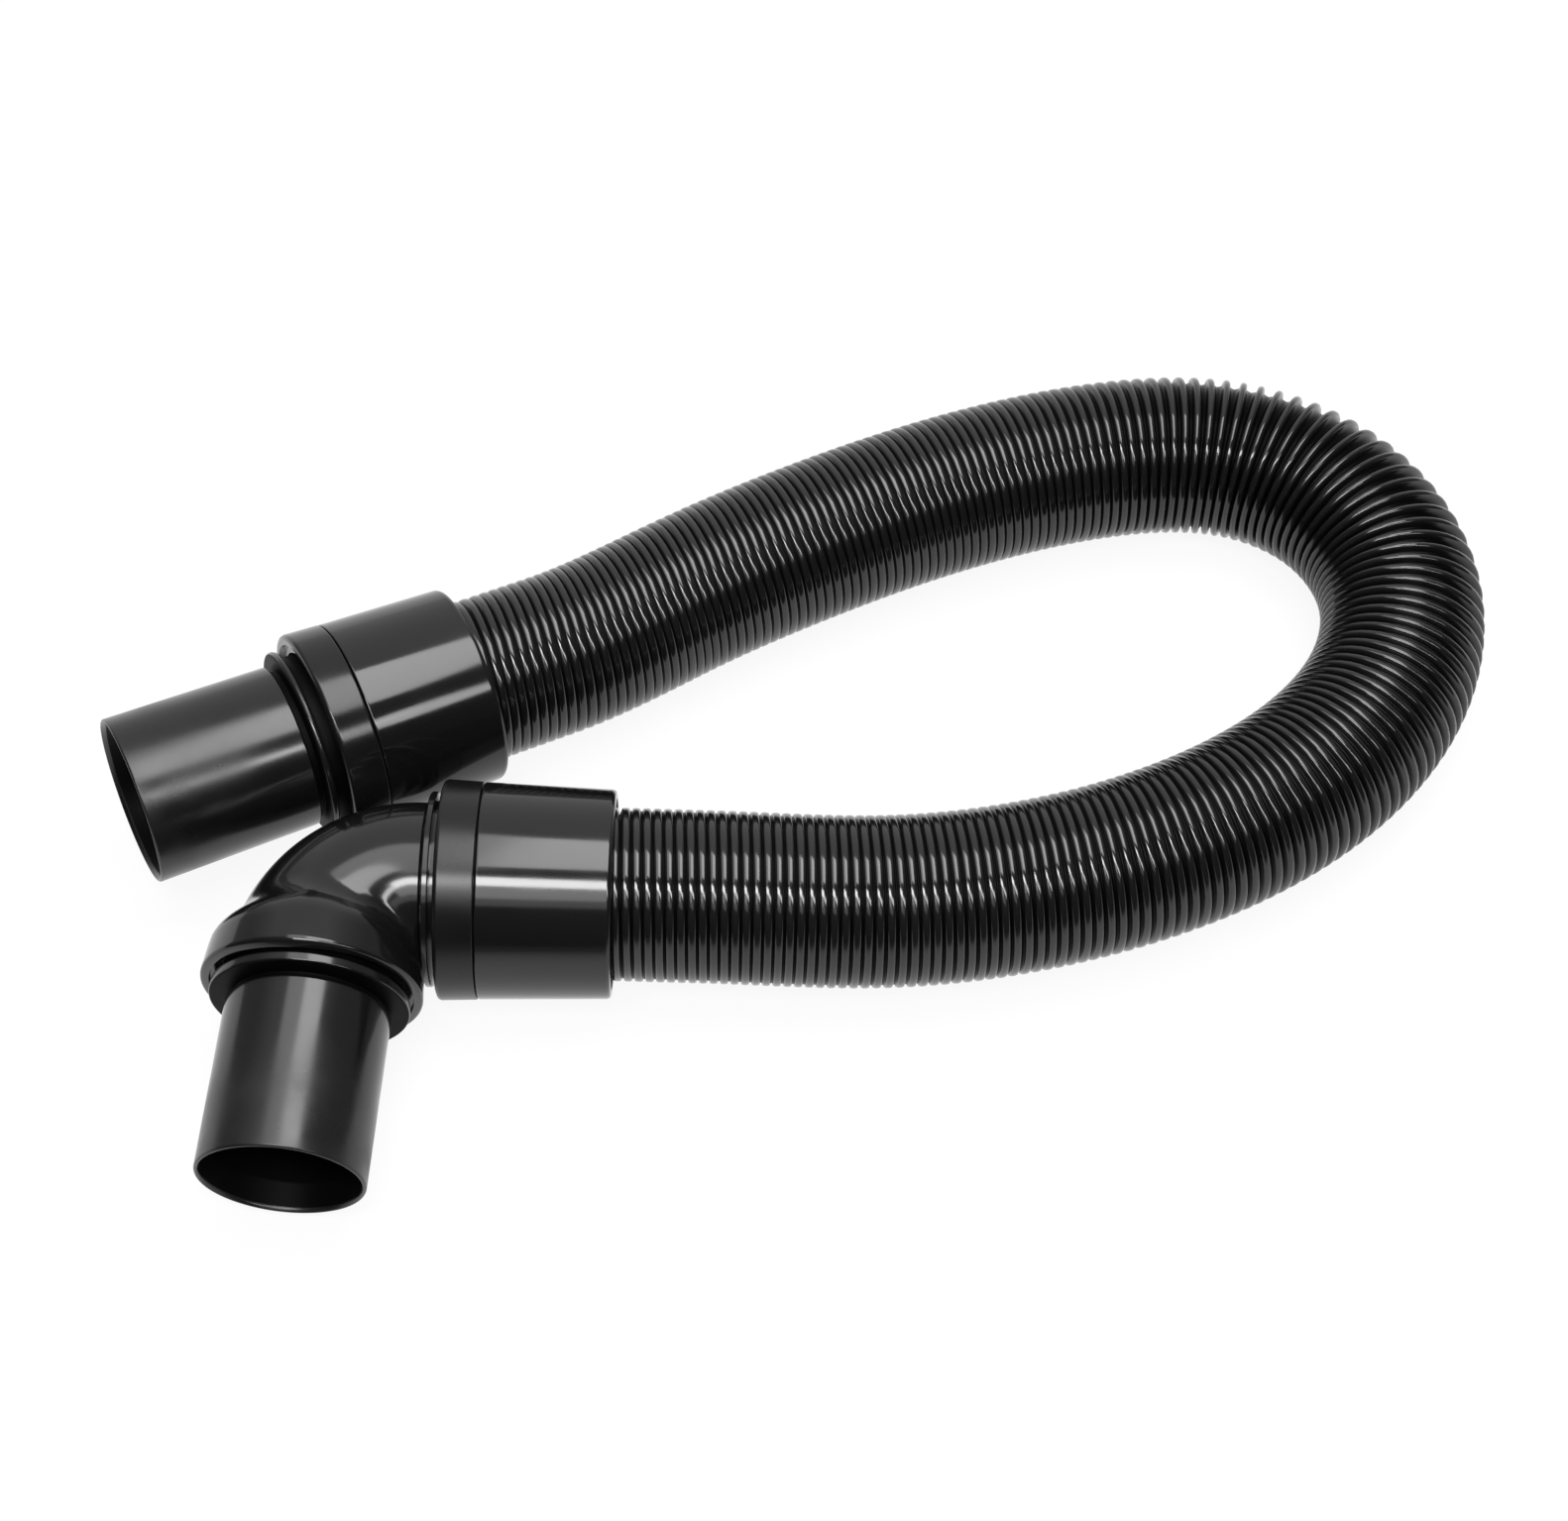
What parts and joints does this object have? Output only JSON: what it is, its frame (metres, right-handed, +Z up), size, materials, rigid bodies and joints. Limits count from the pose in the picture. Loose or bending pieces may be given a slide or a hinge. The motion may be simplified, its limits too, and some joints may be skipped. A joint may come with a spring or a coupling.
{
  "type": "vacuum cleaner hose",
  "caption": "Stretch hose for a vacuum cleaner, with a straight swivel cuff at one end and a swivelling elbow cuff at the other, lying in a U.",
  "frame": {"origin": "on the floor, under the middle of the box round the cuffs and spigots (the hose itself left out)", "axes": "+Z up from the floor the hose lies on; +X from the cuffs towards the hose's outer bend; the elbow's spigot points roughly along -Y"},
  "size_m": [0.3898, 0.276, 0.0616],
  "materials": {
    "hose": "satin black corrugated thermoplastic",
    "cuff": "glossy black",
    "band": "black, a little less glossy than the sleeve",
    "spigot": "glossy black",
    "collar": "black, hidden",
    "ring": "natural acetal, hidden",
    "seal": "matt black, hidden"
  },
  "bodies": {
    "hose_and_cuffs": {"hose": "hose", "straight_sleeve": "cuff", "straight_cap": "band", "straight_hose_collar": "collar", "elbow_sleeve": "cuff", "elbow_cap": "band", "elbow_hose_collar": "collar"},
    "straight_end": {"straight_spigot": "spigot", "straight_split_ring": "ring", "straight_seal": "seal"},
    "elbow": {"elbow_body": "spigot", "elbow_split_ring": "ring", "elbow_seal": "seal"},
    "elbow_end": {"elbow_spigot": "spigot", "bell_split_ring": "ring", "bell_seal": "seal"}
  },
  "joints": [
    {"name": "straight_spigot_swivel", "type": "hinge", "parent": "hose_and_cuffs", "child": "straight_end", "pos_m": [-0.01506, 0.04369, 0.03194], "axis": [-0.8692, -0.4868, 0.0872], "continuous": true},
    {"name": "elbow_swivel", "type": "hinge", "parent": "hose_and_cuffs", "child": "elbow", "pos_m": [-0.0051, -0.004, 0.03104], "axis": [0.9988, 0.0288, -0.0401], "range_deg": [-78, 70]},
    {"name": "elbow_spigot_swivel", "type": "hinge", "parent": "elbow", "child": "elbow_end", "pos_m": [-0.00591, -0.03566, 0.02959], "axis": [-0.0255, -0.9986, -0.0458], "continuous": true}
  ]
}
